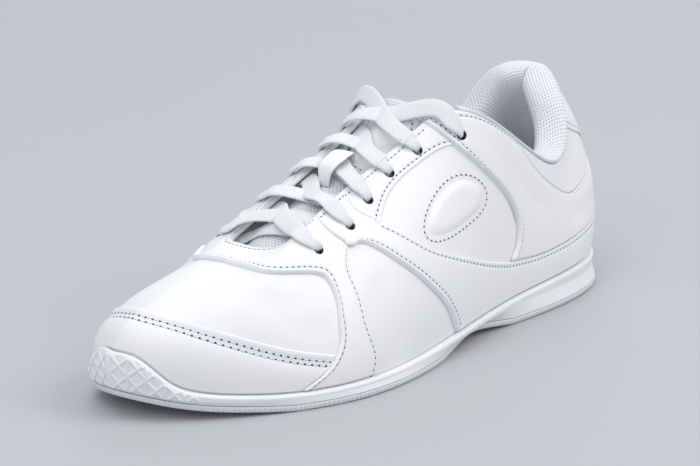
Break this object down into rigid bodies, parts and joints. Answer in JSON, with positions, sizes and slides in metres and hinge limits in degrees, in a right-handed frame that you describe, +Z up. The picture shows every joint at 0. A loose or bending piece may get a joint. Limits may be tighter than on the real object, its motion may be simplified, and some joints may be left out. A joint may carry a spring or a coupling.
{
  "type": "cheerleading shoe",
  "caption": "Low-cut white leather cheerleading shoe for the left foot: hollow paneled upper, padded mesh collar, laced throat with tongue, cupped rubber sole with raised toe bumper.",
  "frame": {"origin": "on the floor under the centre of the bounding box", "axes": "+X from heel to toe, +Y to the wearer's left, which is the outer side of this left shoe, +Z up"},
  "size_m": [0.2641, 0.1012, 0.094],
  "materials": {
    "outsole": "matte",
    "midsole": "satin",
    "insole": "matte",
    "upper": "satin",
    "panels": "satin",
    "mesh_fabric": "matte",
    "lace": "matte"
  },
  "bodies": {
    "root": {"outsole": "outsole", "midsole": "midsole", "insole": "insole", "upper": "upper", "toe_cap": "panels", "saddle": "panels", "heel_band": "panels", "eyestay_outer": "panels", "eyestay_inner": "panels", "quarter": "panels", "cuff": "panels", "heel_tab": "panels", "tongue": "mesh_fabric", "collar_pad": "mesh_fabric", "lace_bar": "lace", "lace_1": "lace", "lace_2": "lace", "lace_3": "lace", "lace_4": "lace", "lace_5": "lace", "lace_keeper": "panels"}
  },
  "joints": []
}
